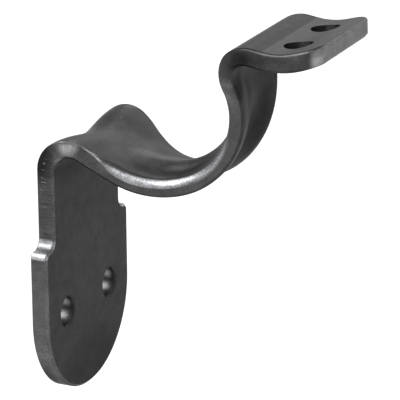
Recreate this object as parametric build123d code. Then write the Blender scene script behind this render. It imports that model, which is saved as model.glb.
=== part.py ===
from build123d import *
import os
from math import ceil, cos, pi, radians, sin, sqrt, tan
from typing import NamedTuple

# Wall bracket for a handrail, punched from one flat steel blank and pressed to shape.
# X points away from the wall, Y runs along the rail and Z is up.
# The origin lies on the back of the wall plate, midway between its two screw holes.

# The blank
sheet = 5.0                    # thickness of the steel plate
strip_width = 40.0             # the strip above the wall plate's shoulders
waist_width = 19.8             # the slimmest place, in the loop
saddle_width = 39.6            # the seat of the rail

# Wall plate
plate_width = 50.0
round_end_drop = 0.8           # centre of the half-round end, below the screw holes
shoulder_height = 20.4         # above the screw holes
shoulder_fillet = 3.0          # inner corner of each shoulder
shoulder_round = 2.0           # outer corner of each shoulder
shoulder_flat = 0.1            # least that is left between the two
wall_hole_spacing = 25.8
wall_hole_bore = 8.0
hole_mouth = 0.6               # bevel at the front of each screw hole
overcut = 1.0                  # how far a hole's cut reaches past the sheet

# Top corner: tighter at the strip's edges than in its middle, which leaves a hollow over the bend
corner_height = 54.9           # where wall plate and neck would meet, above the screw holes
corner_turn = 123.8            # degrees
corner_radius_at_edges = 6.5   # this and the other bend radii are at the middle of the sheet
corner_radius_in_middle = 8.4
corner_lead = 3.0              # flat left on both sides of the corner before the strip changes

# Neck and loop
neck_length = 22.2             # from that meeting point to the start of the loop
loop_radius_low = 21.0
loop_radius_high = 24.7
loop_change = 61.4             # heading where the radius changes, in degrees from straight up
loop_end = -15.3               # heading where the loop ends, in degrees, leaning back to the wall
loop_crown = 2.4               # how far the middle of the loop stands inside its edges
crown_growth = 11.0            # length over which it grows, from the end of the top corner's flat
crown_fade = 16.0              # length over which it fades again
crown_overrun = 2.0            # it ends this far past the loop
thinning = 0.7                 # the strip is pressed thinner from the waist up to the seat
thinning_start = 43.9          # along the strip, from the start of the top corner
thinning_growth = 20.0

# Seat of the rail: a flat, the hollow in which the rail lies, and a flat up to the free end
seat_bend_lead = 0.8           # flat between the loop and the bend under the seat
seat_bend_radius = 8.6
seat_bend_tight = 7.3
seat_bend_change = 40.0        # heading where the bend tightens, in degrees
seat_start = 99.4              # heading of the first flat, in degrees
seat_lead = 2.8                # its length
seat_radius = 23.0
seat_rise = 73.5               # heading of the last flat, in degrees
seat_tail = 7.2                # its length
seat_cut = 88.0                # heading that the free end is cut square to, in degrees
seat_corner = 6.0              # rounded corners of the free end
seat_hole_spacing = 18.4
seat_hole_bore = 8.0
seat_hole_place = 10.0         # from the start of the seat, along the sheet

# Outline of the blank between the top corner and the seat, as lengths along the strip
taper_start = 3.2              # from the start of the top corner
taper_length = 48.2
waist_length = 7.0
flare_radius = 63.0            # how the waist widens out to the seat
flare_corner = 4.5             # rounding where the flare meets the seat's straight sides

# Edges: bevelled on the plate and on the outer side, pressed round inside the loop and on the seat
back_edge = 0.3                # on the wall side of the sheet
front_edge = 0.7               # on the room side of the sheet
loop_inner_edge = 2.4          # where a hand passes
loop_outer_edge = 0.7
seat_top_edge = 0.8
seat_under_edge = 0.7
rounding_start = 16.5          # along the strip, where the inner edge starts to round over
rounding_growth = 8.0
rounding_fade = 10.0
rounding_end = 62.0            # where it is a small bevel again
outer_change = 24.0            # length over which the outer edge changes to the loop's
seat_blend = 10.0              # length over which sheet and edges change to those of the seat

# Modelling
patch_turn = 65.0              # most degrees that one patch of surface turns
patch_length = 20.0            # and the most length it covers
nudge = 1e-4                   # share of a stretch, to see how fast the section changes
middle_pull = 0.36             # how flat a hollow or a crown stays in the strip's middle
side_pull = 0.46               # and towards the strip's edges, as shares of half the width


class Station(NamedTuple):
    """One cross section of the strip, given at the middle of its sheet."""
    edge: Vector               # at the strip's two edges, with Y left at 0
    middle: Vector             # halfway between them
    heading: float             # degrees from straight up, growing away from the wall
    run: float                 # length along the edges, from the start of the top corner


def along(heading):
    return Vector(sin(radians(heading)), 0, cos(radians(heading)))


def out_of_back(heading):
    """Out of the sheet's wall side, which becomes the top of the neck and of the seat."""
    return Vector(-cos(radians(heading)), 0, sin(radians(heading)))


def ease(value):
    """Rises smoothly from 0 to 1."""
    value = min(max(value, 0.0), 1.0)
    return value * value * (3 - 2 * value)


def straight(first, last):
    """A flat stretch between two stations. A stretch gives the station at each share of its length."""
    def at(share):
        return Station(first.edge + (last.edge - first.edge) * share,
                       first.middle + (last.middle - first.middle) * share,
                       first.heading, first.run + (last.run - first.run) * share)
    return at


def flat(start, length):
    """Goes straight on from a station."""
    step = along(start.heading) * length
    last = Station(start.edge + step, start.middle + step, start.heading, start.run + length)
    return straight(start, last)


def bend(start, radius, new_heading):
    """Bends the strip on from a station until it points along new_heading."""
    turn = new_heading - start.heading
    side = 1 if turn > 0 else -1
    centre = start.edge - out_of_back(start.heading) * radius * side

    def at(share):
        heading = start.heading + turn * share
        place = centre + out_of_back(heading) * radius * side
        return Station(place, place, heading, start.run + radius * radians(abs(turn)) * share)
    return at


def top_corner():
    """The flat below the corner, the corner and the two flats above it, up to the loop.

    Each width of the strip turns on a radius of its own between the same flanks."""
    meeting = Vector(sheet / 2, 0, corner_height)
    half_turn = tan(radians(corner_turn / 2))
    setback = corner_radius_at_edges * half_turn
    reach = max(corner_radius_in_middle, corner_radius_at_edges) * half_turn + corner_lead

    def on_bend(radius, turned):
        centre = meeting + Vector(radius, 0, -radius * half_turn)
        return centre + out_of_back(turned) * radius

    def corner(share):
        turned = corner_turn * share
        return Station(on_bend(corner_radius_at_edges, turned), on_bend(corner_radius_in_middle, turned),
                       turned, corner_radius_at_edges * radians(turned))

    def beyond(distance):
        place = meeting + along(corner_turn) * distance
        return Station(place, place, corner_turn, corner(1).run + distance - setback)

    below = meeting - along(0) * reach
    plate_top = Station(below, below, 0.0, setback - reach)
    return (straight(plate_top, corner(0)), corner,
            straight(corner(1), beyond(reach)), straight(beyond(reach), beyond(neck_length)))


def half_width(run):
    """Half the blank's width: a taper down to the waist, a flare out to the seat and its rounded corner."""
    waist, seat = waist_width / 2, saddle_width / 2
    flare_start = taper_start + taper_length + waist_length
    if run < flare_start:
        return waist + (strip_width / 2 - waist) * ease((taper_start + taper_length - run) / taper_length)
    both = flare_radius + flare_corner
    reach = sqrt(both ** 2 - (both - (seat - waist)) ** 2)
    beyond = run - flare_start
    if beyond < reach * flare_radius / both:
        return waist + flare_radius - sqrt(flare_radius ** 2 - beyond ** 2)
    if beyond < reach:
        return seat - flare_corner + sqrt(flare_corner ** 2 - (reach - beyond) ** 2)
    return seat


def thickness(run):
    thin = ease((run - thinning_start) / thinning_growth) * ease((seat_from - run) / seat_blend)
    return sheet - thinning * thin


def crown(run):
    """How far the middle of the strip is pressed to the inner side of the loop."""
    grown = ease((run - crown_from) / crown_growth)
    return loop_crown * grown * ease((loop_to + crown_overrun - run) / crown_fade)


def in_loop(run):
    """How far the inner edge has changed to the loop's round one, from 0 to 1."""
    return ease((run - rounding_start) / rounding_growth) * ease((rounding_end - run) / rounding_fade)


def near_seat(run):
    """How far the edges have changed to those of the seat, from 0 to 1."""
    return ease((run - seat_from) / seat_blend + 1)


def inner_edge(run):
    return (back_edge + (loop_inner_edge - back_edge) * in_loop(run)
            + (seat_top_edge - back_edge) * near_seat(run))


def roundness(run):
    """How round the inner edge is, from 0 for a bevel to 1 for a quarter circle."""
    return in_loop(run) + near_seat(run)


def outer_edge(run):
    return (front_edge + (loop_outer_edge - front_edge) * ease(run / outer_change)
            + (seat_under_edge - loop_outer_edge) * near_seat(run))


def half_section(station, hand):
    """Control points of one half of a cross section, from the middle of its top to the middle below."""
    run, up, across = station.run, out_of_back(station.heading), Vector(0, hand, 0)
    half, lift = half_width(run), thickness(run) / 2
    inner, outer = inner_edge(run), outer_edge(run)

    def face_half(height, width):
        centre = station.middle + up * (height + crown(run))
        rim = station.edge + up * height + across * width
        return [centre, centre + across * (width * middle_pull), rim - across * (width * side_pull), rim]

    top, under = face_half(lift, half - inner), face_half(-lift, half - outer)
    side = station.edge + across * half
    side_top, side_under = side + up * (lift - inner), side - up * (lift - outer)
    bevel = (top[-1] + side_top) / 2
    return [top,
            [top[-1], bevel + (side + up * lift - bevel) * roundness(run), side_top],
            [side_top, side_under],
            [side_under, under[-1]],
            under[::-1]]


def section_curves(station):
    return half_section(station, 1) + half_section(station, -1)


def weights(points):
    """Three control points stand for a rounding, two or four for a plain line or curve."""
    return [1, sqrt(0.5), 1] if len(points) == 3 else [1] * len(points)


def patches(stretch, start, end):
    """The faces between two cross sections, which run on smoothly into the next ones."""
    def third_of_the_way(share):
        before, after = section_curves(stretch(share - nudge)), section_curves(stretch(share + nudge))
        pace = (end - start) / 3 / (2 * nudge)
        return [[(new - old) * pace for old, new in zip(*points)] for points in zip(before, after)]

    faces = []
    for first, leaving, arriving, last in zip(section_curves(stretch(start)), third_of_the_way(start),
                                              third_of_the_way(end), section_curves(stretch(end))):
        second = [point + step for point, step in zip(first, leaving)]
        third = [point - step for point, step in zip(last, arriving)]
        faces.append(Face.make_bezier_surface([first, second, third, last], [weights(first)] * 4))
    return faces


def strip():
    """Neck, loop and the bend under the seat, from the top of the plate to the start of the seat."""
    faces = []
    for stretch in stretches:
        first, last = stretch(0), stretch(1)
        turn, length = abs(last.heading - first.heading), last.run - first.run
        count = ceil(max(turn / patch_turn, length / patch_length))
        for number in range(count):
            faces += patches(stretch, number / count, (number + 1) / count)
    for end in (stretches[0](0), stretches[-1](1)):
        faces.append(Face(Wire([Edge.make_bezier(*points, weights=weights(points))
                                for points in section_curves(end)])))
    return Solid(Shell(faces))


def wall_plate():
    """The flat plate with its half-round end, its shoulders and its two screw holes."""
    top = stretches[0](0).edge.Z
    room = (plate_width - strip_width) / 2 - shoulder_flat
    limit = min(1, room / (shoulder_fillet + shoulder_round))
    with BuildSketch(Plane.YZ) as outline:
        with Locations((0, -round_end_drop)):
            Circle(plate_width / 2)
            Rectangle(plate_width, shoulder_height + round_end_drop, align=(Align.CENTER, Align.MIN))
            Rectangle(strip_width, top + round_end_drop, align=(Align.CENTER, Align.MIN))
        for half, rounding in ((strip_width / 2, shoulder_fillet), (plate_width / 2, shoulder_round)):
            corners = [corner for corner in outline.vertices()
                       if abs(corner.Y - shoulder_height) < 0.01 and abs(abs(corner.X) - half) < 0.01]
            fillet(corners, rounding * limit)
    plate = extrude(outline.sketch, sheet)
    for end, bevel in ((-1, front_edge), (0, back_edge)):
        face = plate.faces().sort_by(Axis.X)[end]
        plate = chamfer([edge for edge in face.edges() if edge.center().Z < top - 0.01], bevel)
    for side in (-1, 1):
        plate -= Pos(0, side * wall_hole_spacing / 2, 0) * screw_hole()
    return plate


def screw_hole():
    """What a screw hole takes away, with its bevelled mouth at the front of the plate."""
    bore, mouth = wall_hole_bore / 2, wall_hole_bore / 2 + hole_mouth
    with BuildSketch(Plane.XZ) as profile:
        with BuildLine():
            Polyline((-overcut, 0), (-overcut, bore), (sheet - hole_mouth, bore), (sheet, mouth),
                     (sheet + overcut, mouth), (sheet + overcut, 0), (-overcut, 0))
        make_face()
    return revolve(profile.sketch, Axis.X)


def seat_profile():
    """Side view of the seat, between its joint with the strip and its free end."""
    def surface(stretch, share, side):
        station = stretch(share)
        return station.edge + out_of_back(station.heading) * side * sheet / 2

    top_end = surface(tail, 1, 1)
    under_end = top_end - out_of_back(seat_cut) * sheet / cos(radians(seat_cut - seat_rise))
    edges = [Edge.make_line(surface(lead, 0, 1), surface(lead, 0, -1)), Edge.make_line(top_end, under_end)]
    for side, end in ((1, top_end), (-1, under_end)):
        edges += [Edge.make_line(surface(lead, 0, side), surface(lead, 1, side)),
                  Edge.make_three_point_arc(*[surface(hollow, share, side) for share in (0, 0.5, 1)]),
                  Edge.make_line(surface(tail, 0, side), end)]
    return Face(Wire(edges))


def rail_seat():
    """The seat with its rounded free end and its two holes."""
    seat = extrude(seat_profile(), saddle_width / 2, both=True)
    free_end = seat.faces().sort_by(Axis.X)[-1]
    seat = fillet(free_end.edges().filter_by(Axis.Y, reverse=True), seat_corner)

    def rim(side):
        """Edges around the top (1) or the underside (-1), without the seams across it and the joint."""
        faces = [face for face in seat.faces() if face.normal_at().Z * side > 0.5]
        return [edge for face in faces for edge in face.edges()
                if abs((edge % 0.5).Y) < 0.99 or edge.center().X > tail(0.5).edge.X]

    seat = fillet(rim(1), seat_top_edge)
    seat = chamfer(rim(-1), seat_under_edge)
    place = hollow((seat_hole_place - seat_lead) / (hollow(1).run - hollow(0).run))
    for side in (-1, 1):
        centre = place.edge + Vector(0, side * seat_hole_spacing / 2, 0)
        hole = Cylinder(seat_hole_bore / 2, sheet + 2 * overcut)
        seat -= Plane(centre, x_dir=(0, 1, 0), z_dir=out_of_back(place.heading)) * hole
    return seat


below, corner, above, neck = top_corner()
loop_low = bend(neck(1), loop_radius_low, loop_change)
loop_high = bend(loop_low(1), loop_radius_high, loop_end)
seat_bend_flat = flat(loop_high(1), seat_bend_lead)
seat_bend = bend(seat_bend_flat(1), seat_bend_radius, seat_bend_change)
seat_bend_end = bend(seat_bend(1), seat_bend_tight, seat_start)
stretches = [below, corner, above, neck, loop_low, loop_high, seat_bend_flat, seat_bend, seat_bend_end]
crown_from, loop_to, seat_from = neck(0).run, loop_high(1).run, seat_bend_end(1).run
lead = flat(seat_bend_end(1), seat_lead)
hollow = bend(lead(1), seat_radius, seat_rise)
tail = flat(hollow(1), seat_tail)
bracket = wall_plate() + strip() + rail_seat()

os.makedirs("parts", exist_ok=True)
export_step(bracket, "parts/bracket.step")
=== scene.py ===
import math

import bpy
from mathutils import Matrix, Vector


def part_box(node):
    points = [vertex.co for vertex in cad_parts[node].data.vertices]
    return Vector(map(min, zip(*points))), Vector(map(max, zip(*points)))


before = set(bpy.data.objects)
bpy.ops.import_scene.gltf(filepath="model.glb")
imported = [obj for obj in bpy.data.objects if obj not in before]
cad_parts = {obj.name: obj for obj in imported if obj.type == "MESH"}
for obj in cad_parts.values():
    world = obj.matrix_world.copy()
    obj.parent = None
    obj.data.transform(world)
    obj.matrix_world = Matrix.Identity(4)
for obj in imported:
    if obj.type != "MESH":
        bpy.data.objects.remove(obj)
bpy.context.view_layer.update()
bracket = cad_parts["bracket"]
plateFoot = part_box("bracket")[0].z
print("frame loaded")


# Camera, set up from the photograph: where it stands and how far it zooms in
camera = {
    "azimuth": 24.772,       # degrees to the right of straight along the rail
    "elevation": 18.510,
    "roll": -0.470,
    "distance": 0.79008,     # metres from the origin, along the view
    "sideways": -0.035725,   # how far the origin lies beside the middle of the picture
    "upwards": -0.026489,
    "focal": 2795.8,         # in pixels of a picture that is this wide
    "pictureWidth": 400,
    "sensor": 36.0,          # millimetres
    "clip": (0.05, 30),      # the nearest and the furthest that it sees, in metres
}


def makeCamera(c):
    azimuth, elevation, roll = (math.radians(c[key]) for key in ("azimuth", "elevation", "roll"))
    back = Vector((math.sin(azimuth) * math.cos(elevation),
                   -math.cos(azimuth) * math.cos(elevation),
                   math.sin(elevation)))
    level = Vector((math.cos(azimuth), math.sin(azimuth), 0))
    steep = back.cross(level)
    right = level * math.cos(roll) + steep * math.sin(roll)
    up = steep * math.cos(roll) - level * math.sin(roll)
    lens = bpy.data.cameras.new("camera")
    lens.sensor_width = c["sensor"]
    lens.lens = c["focal"] / c["pictureWidth"] * c["sensor"]
    lens.clip_start, lens.clip_end = c["clip"]
    eye = bpy.data.objects.new("camera", lens)
    eye.matrix_world = Matrix((right, up, back)).transposed().to_4x4()
    eye.location = back * c["distance"] - right * c["sideways"] - up * c["upwards"]
    bpy.context.scene.collection.objects.link(eye)
    bpy.context.scene.camera = eye


makeCamera(camera)
print("camera placed")


# Node helpers: a socket takes a plain value or the output of another node
def feed(tree, socket, value):
    if isinstance(value, bpy.types.NodeSocket):
        tree.links.new(value, socket)
    else:
        socket.default_value = value


def calculate(tree, operation, *values):
    node = tree.nodes.new("ShaderNodeMath")
    node.operation = operation
    for socket, value in zip(node.inputs, values):
        feed(tree, socket, value)
    return node.outputs[0]


# The same with more than two values, one after another
def combine(tree, operation, first, *others):
    for other in others:
        first = calculate(tree, operation, first, other)
    return first


def add(tree, *values):
    return combine(tree, "ADD", *values)


def subtract(tree, first, second):
    return calculate(tree, "SUBTRACT", first, second)


def multiply(tree, *values):
    return combine(tree, "MULTIPLY", *values)


def largest(tree, *values):
    return combine(tree, "MAXIMUM", *values)


def hypotenuse(tree, first, second):
    squares = [multiply(tree, side, side) for side in (first, second)]
    return calculate(tree, "SQRT", add(tree, *squares))


# low up to start, high from end on, smooth between
def ramp(tree, value, start, end, low=0.0, high=1.0):
    node = tree.nodes.new("ShaderNodeMapRange")
    node.interpolation_type = "SMOOTHSTEP"
    settings = {"Value": value, "From Min": start, "From Max": end, "To Min": low, "To Max": high}
    for name, setting in settings.items():
        feed(tree, node.inputs[name], setting)
    return node.outputs[0]


def fadeOut(tree, value, start, end):
    return ramp(tree, value, start, end, 1, 0)


# 1 between full and fade, 0 before start and beyond end
def between(tree, value, start, full, fade, end):
    return multiply(tree, ramp(tree, value, start, full), fadeOut(tree, value, fade, end))


def speckle(tree, place, scale, detail, roughness):
    node = tree.nodes.new("ShaderNodeTexNoise")
    settings = {"Vector": place, "Scale": scale, "Detail": detail, "Roughness": roughness}
    for name, setting in settings.items():
        feed(tree, node.inputs[name], setting)
    return node.outputs[0]


def blend(tree, share, first, second):
    node = tree.nodes.new("ShaderNodeMix")
    node.data_type = "RGBA"
    for socket, value in ((0, share), (6, first), (7, second)):    # 6 and 7 are its two colours
        feed(tree, node.inputs[socket], value)
    return node.outputs[2]


def split(tree, vector):
    node = tree.nodes.new("ShaderNodeSeparateXYZ")
    tree.links.new(vector, node.inputs[0])
    return node.outputs


def join(tree, *parts):
    node = tree.nodes.new("ShaderNodeCombineXYZ")
    for socket, part in zip(node.inputs, parts):
        feed(tree, socket, part)
    return node.outputs[0]


def vectorMath(tree, operation, *vectors):
    node = tree.nodes.new("ShaderNodeVectorMath")
    node.operation = operation
    for socket, vector in zip(node.inputs, vectors):
        feed(tree, socket, vector)
    return node


def lengthOf(tree, vector):
    return vectorMath(tree, "LENGTH", vector).outputs["Value"]


# Studio: a pale floor far below, a big softbox overhead and two weak ones, in front and behind
studio = {
    "floorDrop": 0.30,          # below the bracket's foot, because it hangs on a wall
    "floorColour": (0.86, 0.86, 0.86, 1),
    "floorRoughness": 0.9,
    "floorSize": 14.0,
    "white": (1, 1, 1, 1),
    "glow": (0.55, 0.95),       # what camera and reflections see on top of the floor's light
    "glowPlace": (0.4, 1.8),    # where it is so, in metres from the bracket
    "ambient": 0.20,            # how much of the white surroundings lights the steel
    "lamps": {
        "overhead": {"place": (-0.24, -0.52, 0.79), "aim": (0.035, 0, 0.045),
                     "size": (1.20, 0.66), "power": 12.5},
        "front": {"place": (-0.55, -0.85, 0.05), "aim": (0.03, 0, 0.02),
                  "size": (0.5, 0.7), "power": 1.5},
        "behind": {"place": (-0.10, 1.00, 0.52), "aim": (0.04, 0, 0.05),
                   "size": (0.8, 0.30), "power": 2.4},
    },
}


# 1 where the camera or a reflection looks at a surface, 0 where it only lights others
def seenDirectly(tree):
    path = tree.nodes.new("ShaderNodeLightPath")
    kinds = ("Is Camera Ray", "Is Glossy Ray", "Is Transmission Ray")
    return largest(tree, *(path.outputs[kind] for kind in kinds))


def makeFloor(s):
    floorHeight = plateFoot - s["floorDrop"]
    bpy.ops.mesh.primitive_plane_add(size=s["floorSize"], location=(0, 0, floorHeight))
    floor = bpy.context.object
    floor.name = "floor"
    paint = bpy.data.materials.new("paleFloor")
    paint.use_nodes = True
    tree = paint.node_tree
    shader = tree.nodes["Principled BSDF"]
    shader.inputs["Base Color"].default_value = s["floorColour"]
    shader.inputs["Roughness"].default_value = s["floorRoughness"]
    shader.inputs["Emission Color"].default_value = s["white"]
    place = tree.nodes.new("ShaderNodeTexCoord").outputs["Object"]
    glow = ramp(tree, lengthOf(tree, place), *s["glowPlace"], *s["glow"])
    feed(tree, shader.inputs["Emission Strength"], multiply(tree, seenDirectly(tree), glow))
    floor.data.materials.append(paint)


def makeWorld(s):
    world = bpy.data.worlds.new("studio")
    bpy.context.scene.world = world
    world.use_nodes = True
    tree = world.node_tree
    background = tree.nodes["Background"]
    background.inputs["Color"].default_value = s["white"]
    strength = ramp(tree, seenDirectly(tree), 0, 1, s["ambient"], 1)
    feed(tree, background.inputs["Strength"], strength)


def makeLamp(name, lamp):
    light = bpy.data.lights.new(name, "AREA")
    light.shape = "RECTANGLE"
    light.size, light.size_y = lamp["size"]
    light.energy = lamp["power"]
    holder = bpy.data.objects.new(name, light)
    holder.location = lamp["place"]
    towards = Vector(lamp["aim"]) - Vector(lamp["place"])
    holder.rotation_euler = towards.to_track_quat("-Z", "Y").to_euler()
    bpy.context.scene.collection.objects.link(holder)


makeFloor(studio)
makeWorld(studio)
for name, lamp in studio["lamps"].items():
    makeLamp(name, lamp)
bpy.context.scene.view_settings.view_transform = "Standard"
print("studio lit")


# Steel: rolled faces, lighter sheared edges, and roundings that the press has burnished, with
# painted highlights and painted shade on top.
# Lengths are in metres. A pair is where something starts to change and where it is done. A
# slope is 1 where a surface faces that way squarely and 0 where it runs along it.
steel = {
    "rolled": (0.0445, 0.044, 0.0445, 1),
    "sheared": (0.062, 0.061, 0.062, 1),
    # worn bright steel, and also the colour that paints highlights on roundings, shoulders and
    # edges
    "rubbedAndSheen": (0.335, 0.340, 0.351, 1),
    "endLight": (0.185, 0.183, 0.186, 1),   # the free end, painted lighter for the light its face catches
    "metallic": 0.85,
    "specular": 0.25,
    "slantTint": (0.5, 0.5, 0.5, 1),      # keeps the scale on the steel from shining at a slant
    "rolledRoughness": 0.37,
    "shearedRoughness": 0.46,
    "rubbedRoughness": 0.34,
    "roughnessSpread": (0.9, 1.1),
    "rubbedSheenGaps": (0.35, 0.60, 0.62, 1),  # the grain's low places get this much less of the worn colour and painted sheen
    "mottle": 0.19,                       # how much the colour varies from place to place
    "mottleNoise": (330.0, 3.0, 0.55),    # scale, detail and roughness
    "grain": 0.17,
    "grainNoise": (2600.0, 2.0, 0.6),
    "grainHeight": 0.000012,
    "noiseRange": (0.25, 0.75),           # nearly all of a noise lies between these

    "cuts": {                             # where the sheet was sheared
        "stripSides": (0.86, 0.97),       # slope along y
        "plateSides": (0.12, 0.40),       # slope along x, from which on they end
        "plateTop": (0.0210, 0.0216),     # z, where the wall plate's shoulders end
        "endFace": (0.35, 0.80),          # slope along x
        "endStart": (0.0785, 0.0805),
    },

    "roundings": {                        # how much of the steel is worn and painted with sheen, between 0 and 1
        "bandTop": (0.72, 0.32, 0.42),    # slope at the band's upper side: neck, loop and rise
        "bandWidens": (0.015, 0.030),     # x
        "bandNarrows": (0.036, 0.043),
        "bandSoftness": 0.26,
        "bandFoot": (0.93, 1.01),
        "bevel": (0.40, 0.60, 0.78, 0.92),    # slope along x of the bevel round the plate
        "loopCentre": (0.033, 0.059),     # x and z
        "loopInside": (0, 0.0035),        # how far a surface faces the loop's centre
        "loopStart": (0.0160, 0.0225),    # x
        "loopTop": (0.066, 0.074),        # z
        "loopRise": (0.037, 0.052),       # x, where the wear and painted sheen fade again, and to how much
        "riseRubbedSheen": 0.55,
        "seatSlope": (0.10, 0.40),
        "seatStart": (0.060, 0.068),      # x
        "seatRubbedSheen": (0.2, 1),          # before and beyond that, as shares of the next
        "seatMost": 0.15,
        "plateEnd": (0.0065, 0.0115),     # x, where the plate's own wear and painted sheen end
        "plateRubbedSheen": 0.21,
        "holesEnd": (0.0185, 0.0205),     # this far from the plate's middle, its holes end
        "shoulderHeights": (0.0166, 0.0176, 0.0222, 0.0238),
        "shoulderFront": (0.75, 0.92),    # slope along x, from which on it ends
        "shoulderTop": (0.02, 0.25),      # upward slope
    },

    "thinLine": {                         # a thin painted highlight on the edge before the band
        "reach": (0.0130, 0.0150, 0.0170, 0.0190),    # x
        "top": (0.05, 0.20),              # upward slope
        "slopes": (0.64, 0.72, 0.82, 0.92),
        "paintedSheen": 0.75,
    },

    "sideBand": {                         # painted highlight on the strip's side where the loop rises
        "fromLoop": (0.0193, 0.0205),     # distance from the loop's centre
        "start": (0.038, 0.046),          # x
        "top": (0.050, 0.058),            # z
        "side": (0.90, 0.95),             # slope along y
        "paintedSheen": 0.55,
    },

    "neckEdge": {                         # painted light on the upper part of the neck's rounding
        "reach": (0.0110, 0.0150, 0.0220, 0.0300),    # x
        "top": (0.05, 0.20),              # upward slope
        "slopes": (0.22, 0.45, 0.80, 0.93),
        "shine": 0.75,
    },

    "lines": {                            # fine lines left by the shears, across the sheet
        "cornerCentre": (0.0090, 0.04273),    # x and z, where they turn round the top corner
        "cornerRadius": 0.0065,
        "cornerStart": (0, 0.0001),
        "scale": 2400.0,
        "stretch": 0.06,
        "noise": (1.0, 3.0, 0.6),
        "noiseRange": (0.30, 0.72),
        "depth": 0.22,
        "end": (0.012, 0.018),            # x, beyond the corner
        "foot": (0.010, 0.024),           # z, on the plate, and how much is left below
        "footShare": 0.25,
    },

    "ticks": {                            # short bright ones on the outside of the top corner
        "stretch": 0.35,
        "noise": (0.7, 1.0, 0.5),
        "noiseRange": (0.645, 0.765),
        "outside": (0.001, 0.006),        # x
        "foot": (0.026, 0.042),           # z
        "colour": (0.23, 0.23, 0.23, 1),
    },

    "seat": {                             # painted shade on the bend, then a thin painted highlight on the crease
        "heights": (0.076, 0.080),        # z, above which the seat lies
        "top": (0.80, 0.95),              # upward slope
        "crease": 0.0667,                 # x, where the hollow begins
        "creaseWidth": 0.0008,
        "creaseShine": 0.22,
        "bendShade": 0.54,
    },
}

# Places painted lighter or darker, as painted highlights, reflections and shade: centre and
# reach, and how much lighter
spotCore = 0.25                 # share of its reach within which a spot is at its full strength
bothSides = {                   # these are on both sides of the bracket alike
    # painted shade and painted highlights round the top corner and on the strip's side
    "cornerOutside": ((0.0005, 0.020, 0.0465), (0.0070, 0.006, 0.0110), 0.22),
    "cornerBulge": ((0.0092, 0.0195, 0.0500), (0.0038, 0.004, 0.0032), 3.9),
    "cornerRib": ((0.0060, 0.0195, 0.0455), (0.0022, 0.004, 0.0040), 1.4),
    "cornerTop": ((0.0085, 0.0195, 0.0520), (0.0070, 0.0026, 0.0018), 0.30),
    "stripSide": ((0.0020, 0.020, 0.0340), (0.0060, 0.004, 0.0130), 0.78),
    # painted shade and a painted highlight on the shoulders
    "shoulder": ((0.0025, 0.0215, 0.0222), (0.0055, 0.0045, 0.0034), 0.72),
    "shoulderEnd": ((0.0020, 0.0240, 0.0203), (0.0050, 0.0022, 0.0011), 1.3),
    # painted light on the plate's sides, painted shade at its foot and under the corner
    "plateSide": ((0.0020, 0.025, 0.0040), (0.0060, 0.006, 0.0180), 1.22),
    "plateFootSide": ((0.0012, 0.0120, -0.0250), (0.0048, 0.0220, 0.0250), 0.27),
    "plateUnderCorner": ((0.0050, 0.010, 0.0440), (0.0030, 0.016, 0.0090), 0.66),
    # painted shade under the seat and on its sides, painted highlights at its end and corner
    "underSeat": ((0.0570, 0.0122, 0.0715), (0.0030, 0.0038, 0.0080), 0.38),
    "seatBendSide": ((0.0600, 0.0190, 0.0802), (0.0058, 0.0040, 0.0048), 0.27),
    "seatSideStart": ((0.0640, 0.0198, 0.0808), (0.0065, 0.0030, 0.0045), 0.60),
    "seatSide": ((0.0700, 0.0198, 0.0798), (0.0120, 0.0030, 0.0040), 0.66),
    "seatTopEnd": ((0.0790, 0.0060, 0.0850), (0.0045, 0.0160, 0.0040), 1.12),
    "seatCorner": ((0.0808, 0.0170, 0.0812), (0.0022, 0.0030, 0.0022), 1.8),
}
asPlaced = {                    # and these are on one side only, or across the middle
    # painted light in the plate's middle, painted shade at its foot
    "plateMiddle": ((0.0050, 0.004, 0.0130), (0.0030, 0.026, 0.0220), 1.15),
    "plateFoot": ((0.0050, 0.000, -0.0190), (0.0030, 0.024, 0.0130), 0.69),
    # painted light and shade on the neck and in the loop's trough
    "neckMiddle": ((0.0185, -0.003, 0.0470), (0.0090, 0.015, 0.0060), 1.28),
    "neckHollow": ((0.0170, 0.010, 0.0480), (0.0070, 0.006, 0.0060), 0.80),
    "loopTrough": ((0.0358, -0.0050, 0.0430), (0.0130, 0.0056, 0.0048), 0.66),
    "aboveTrough": ((0.0300, -0.0020, 0.0440), (0.0140, 0.0068, 0.0060), 1.75),
    "troughRise": ((0.0382, -0.0038, 0.0444), (0.0085, 0.0042, 0.0055), 0.76),
    "neckSpeck": ((0.0112, 0.0094, 0.0509), (0.0004, 0.0004, 0.0006), 3.0),
    "neckFar": ((0.0110, 0.0080, 0.0505), (0.0060, 0.0080, 0.0040), 1.14),
    # painted shade and a painted light line under the seat
    "underStreak": ((0.0573, -0.0063, 0.0655), (0.0040, 0.0026, 0.0100), 0.66),
    "underLine": ((0.0570, -0.0092, 0.0660), (0.0040, 0.0022, 0.0080), 1.35),
    # painted reflections in the wall holes: bright patches, a dark band between, darker at the
    # front
    "holeTopLeft": ((0.0022, -0.0092, 0.0017), (0.0026, 0.0022, 0.0020), 3.8),
    "holeTopRight": ((0.0022, 0.0167, 0.0015), (0.0026, 0.0022, 0.0020), 3.8),
    "holeFootLeft": ((0.0012, -0.0099, -0.0027), (0.0026, 0.0020, 0.0020), 3.0),
    "holeFootRight": ((0.0012, 0.0158, -0.0028), (0.0026, 0.0020, 0.0020), 3.0),
    "holeBandLeft": ((0.0022, -0.0089, -0.0007), (0.0030, 0.0012, 0.0009), 0.45),
    "holeBandRight": ((0.0022, 0.0168, -0.0009), (0.0030, 0.0012, 0.0009), 0.45),
    "holeFrontLeft": ((0.0040, -0.0100, -0.0005), (0.0014, 0.0030, 0.0046), 0.42),
    "holeFrontRight": ((0.0040, 0.0160, -0.0005), (0.0014, 0.0030, 0.0046), 0.42),
    # painted shade on the outside of the loop's wall
    "wallOutside": ((0.0550, 0.005, 0.0570), (0.0085, 0.013, 0.0230), 0.50),
}


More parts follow.
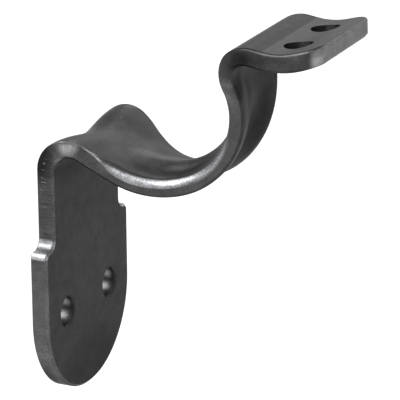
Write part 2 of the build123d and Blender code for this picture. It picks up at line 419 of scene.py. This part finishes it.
# A place on the steel and how it slopes there; squareX and squareY ignore which side it is
class Surface:
    def __init__(self, tree):
        source = tree.nodes.new("ShaderNodeTexCoord")
        self.place = source.outputs["Object"]
        self.x, self.y, self.z = split(tree, self.place)
        self.slopeX, slopeY, self.slopeZ = split(tree, source.outputs["Normal"])
        self.squareX = calculate(tree, "ABSOLUTE", self.slopeX)
        self.squareY = calculate(tree, "ABSOLUTE", slopeY)
        self.eitherSide = join(tree, self.x, calculate(tree, "ABSOLUTE", self.y), self.z)


# All the spots' painted light and shade multiplied
def spotShade(tree, place, spots):
    shade = 1.0
    for centre, reach, lighter in spots.values():
        scale = [1 / r for r in reach]
        shift = [-c / r for c, r in zip(centre, reach)]
        scaled = vectorMath(tree, "MULTIPLY_ADD", place, scale, shift).outputs[0]
        shade = multiply(tree, shade, ramp(tree, lengthOf(tree, scaled), spotCore, 1, lighter, 1))
    return shade


# The plate, all sheared surfaces but the free end, and the free end
def findCuts(tree, at, s):
    plate = fadeOut(tree, at.z, *s["plateTop"])
    stripSides = ramp(tree, at.squareY, *s["stripSides"])
    plateSides = multiply(tree, fadeOut(tree, at.squareX, *s["plateSides"]), plate)
    freeEnd = multiply(tree, ramp(tree, at.slopeX, *s["endFace"]),
                       ramp(tree, at.x, *s["endStart"]))
    return plate, largest(tree, stripSides, plateSides), freeEnd


# The roundings between a sheared edge and a face, on the strip and round the plate
def findRoundings(tree, at, plate, s):
    neck, loop, rise = s["bandTop"]
    top = add(tree, ramp(tree, at.x, *s["bandWidens"], neck, loop),
              ramp(tree, at.x, *s["bandNarrows"], 0, rise - loop))
    top = calculate(tree, "MINIMUM", top, ramp(tree, at.x, *s["plateEnd"], loop, 1))
    strip = multiply(tree, ramp(tree, at.squareY, top, add(tree, top, s["bandSoftness"])),
                     fadeOut(tree, at.squareY, *s["bandFoot"]))
    bevel = multiply(tree, between(tree, at.squareX, *s["bevel"]), plate)
    return largest(tree, strip, bevel)


# How much they are worn and painted with sheen: most inside the loop, less on the seat and the
# plate
def findRubbingAndSheen(tree, at, seatTop, s):
    centreX, centreZ = s["loopCentre"]
    inward = add(tree, multiply(tree, subtract(tree, centreX, at.x), at.slopeX),
                 multiply(tree, subtract(tree, centreZ, at.z), at.slopeZ))
    inLoop = multiply(tree, ramp(tree, inward, *s["loopInside"]),
                      ramp(tree, at.x, *s["loopStart"]), fadeOut(tree, at.z, *s["loopTop"]),
                      ramp(tree, at.x, *s["loopRise"], 1, s["riseRubbedSheen"]))
    onSeat = multiply(tree, seatTop, ramp(tree, at.slopeZ, *s["seatSlope"]),
                      ramp(tree, at.x, *s["seatStart"], *s["seatRubbedSheen"]), s["seatMost"])
    onPlate = multiply(tree, ramp(tree, at.x, *s["plateEnd"], s["plateRubbedSheen"], 0),
                       ramp(tree, hypotenuse(tree, at.y, at.z), *s["holesEnd"]))
    return largest(tree, inLoop, onSeat, onPlate)


# Painted highlights on the wall plate's shoulders
def findShoulders(tree, at, s):
    return multiply(tree, between(tree, at.z, *s["shoulderHeights"]),
                    fadeOut(tree, at.squareX, *s["shoulderFront"]),
                    ramp(tree, at.slopeZ, *s["shoulderTop"]))


# Painted light along the strip's upper edge, between two slopes
def findEdgeLine(tree, at, s, strength):
    return multiply(tree, between(tree, at.x, *s["reach"]), ramp(tree, at.slopeZ, *s["top"]),
                    between(tree, at.squareY, *s["slopes"]), strength)


# Painted highlight on the strip's side where the loop rises
def findSideBand(tree, at, s, loopCentre):
    centreX, centreZ = loopCentre
    fromLoop = hypotenuse(tree, subtract(tree, at.x, centreX), subtract(tree, at.z, centreZ))
    return multiply(tree, fadeOut(tree, fromLoop, *s["fromLoop"]),
                    ramp(tree, at.x, *s["start"]), fadeOut(tree, at.z, *s["top"]),
                    ramp(tree, at.squareY, *s["side"]), s["paintedSheen"])


# Where a point lies along the strip: up the plate, then round the top corner
def measureRun(tree, at, s):
    centreX, centreZ = s["cornerCentre"]
    aside, above = subtract(tree, centreX, at.x), subtract(tree, at.z, centreZ)
    turned = multiply(tree, calculate(tree, "ARCTAN2", above, aside), s["cornerRadius"])
    onCorner = ramp(tree, above, *s["cornerStart"])
    return add(tree, multiply(tree, turned, onCorner),
               multiply(tree, above, subtract(tree, 1, onCorner)))


# Noise drawn out across the sheet, which makes lines, and ticks where it is drawn out less
def drawnOut(tree, at, run, scale, stretch, noise):
    scales = (scale, scale * stretch, scale * stretch)
    parts = [multiply(tree, part, size) for part, size in zip((run, at.y, at.x), scales)]
    return speckle(tree, join(tree, *parts), *noise)


def findLines(tree, at, run, cut, s):
    lines = drawnOut(tree, at, run, s["scale"], s["stretch"], s["noise"])
    shade = ramp(tree, lines, *s["noiseRange"], 1 - s["depth"], 1 + s["depth"])
    lined = multiply(tree, cut, fadeOut(tree, at.x, *s["end"]),
                     ramp(tree, at.z, *s["foot"], s["footShare"], 1))
    return add(tree, 1, multiply(tree, lined, subtract(tree, shade, 1)))


def findTicks(tree, at, run, cut, scale, s):
    ticks = drawnOut(tree, at, run, scale, s["stretch"], s["noise"])
    return multiply(tree, ramp(tree, ticks, *s["noiseRange"]), cut,
                    fadeOut(tree, at.x, *s["outside"]), ramp(tree, at.z, *s["foot"]))


# Painted shade on the seat's bend and a painted highlight on its crease
def findSeatShade(tree, at, seatTop, s):
    onTop = multiply(tree, ramp(tree, at.slopeZ, *s["top"]), seatTop)
    fromCrease = subtract(tree, at.x, s["crease"])
    crease = ramp(tree, calculate(tree, "ABSOLUTE", fromCrease), 0, s["creaseWidth"],
                  s["creaseShine"], 0)
    bend = ramp(tree, fromCrease, -s["creaseWidth"], 0, s["bendShade"] - 1, 0)
    return add(tree, 1, multiply(tree, onTop, add(tree, crease, bend)))


def makeSteel(s):
    material = bpy.data.materials.new("darkSteel")
    material.use_nodes = True
    tree = material.node_tree
    shader = tree.nodes["Principled BSDF"]
    at = Surface(tree)
    mottle = speckle(tree, at.place, *s["mottleNoise"])
    grain = speckle(tree, at.place, *s["grainNoise"])

    # what the press and the shears did where, and where sheen is painted
    plate, cut, freeEnd = findCuts(tree, at, s["cuts"])
    seatTop = ramp(tree, at.z, *s["seat"]["heights"])
    rounding = multiply(tree, findRoundings(tree, at, plate, s["roundings"]),
                        findRubbingAndSheen(tree, at, seatTop, s["roundings"]))
    rubbedAndSheen = largest(tree, rounding, findShoulders(tree, at, s["roundings"]),
                     findEdgeLine(tree, at, s["thinLine"], s["thinLine"]["paintedSheen"]),
                     findSideBand(tree, at, s["sideBand"], s["roundings"]["loopCentre"]))
    run = measureRun(tree, at, s["lines"])

    # how much lighter or darker each place is: mottle, grain and shear lines, and painted light
    # and shade
    neckEdge = add(tree, 1, findEdgeLine(tree, at, s["neckEdge"], s["neckEdge"]["shine"]))
    shade = multiply(tree,
                     ramp(tree, mottle, *s["noiseRange"], 1 - s["mottle"], 1 + s["mottle"]),
                     ramp(tree, grain, *s["noiseRange"], 1 - s["grain"], 1 + s["grain"]),
                     findLines(tree, at, run, cut, s["lines"]),
                     spotShade(tree, at.eitherSide, bothSides),
                     spotShade(tree, at.place, asPlaced),
                     findSeatShade(tree, at, seatTop, s["seat"]), neckEdge)

    colour = blend(tree, cut, s["rolled"], s["sheared"])
    patchy = ramp(tree, grain, *s["rubbedSheenGaps"])
    # the worn colour, which also paints the highlights on roundings, shoulders and edges
    colour = blend(tree, multiply(tree, rubbedAndSheen, patchy), colour, s["rubbedAndSheen"])
    # the free end painted lighter for the light its face catches
    colour = blend(tree, freeEnd, colour, s["endLight"])
    tone = vectorMath(tree, "SCALE", colour)
    feed(tree, tone.inputs["Scale"], shade)
    ticks = findTicks(tree, at, run, cut, s["lines"]["scale"], s["ticks"])
    feed(tree, shader.inputs["Base Color"],
         blend(tree, ticks, tone.outputs[0], s["ticks"]["colour"]))

    rough = ramp(tree, cut, 0, 1, s["rolledRoughness"], s["shearedRoughness"])
    rough = ramp(tree, rubbedAndSheen, 0, 1, rough, s["rubbedRoughness"])
    spread = ramp(tree, mottle, *s["noiseRange"], *s["roughnessSpread"])
    feed(tree, shader.inputs["Roughness"], multiply(tree, rough, spread))
    shader.inputs["Metallic"].default_value = s["metallic"]
    shader.inputs["Specular IOR Level"].default_value = s["specular"]
    shader.inputs["Specular Tint"].default_value = s["slantTint"]

    bump = tree.nodes.new("ShaderNodeBump")
    bump.inputs["Distance"].default_value = s["grainHeight"]
    feed(tree, bump.inputs["Height"], grain)
    feed(tree, shader.inputs["Normal"], bump.outputs[0])
    return material


bracket.material_slots[0].material = makeSteel(steel)
print("steel finished")
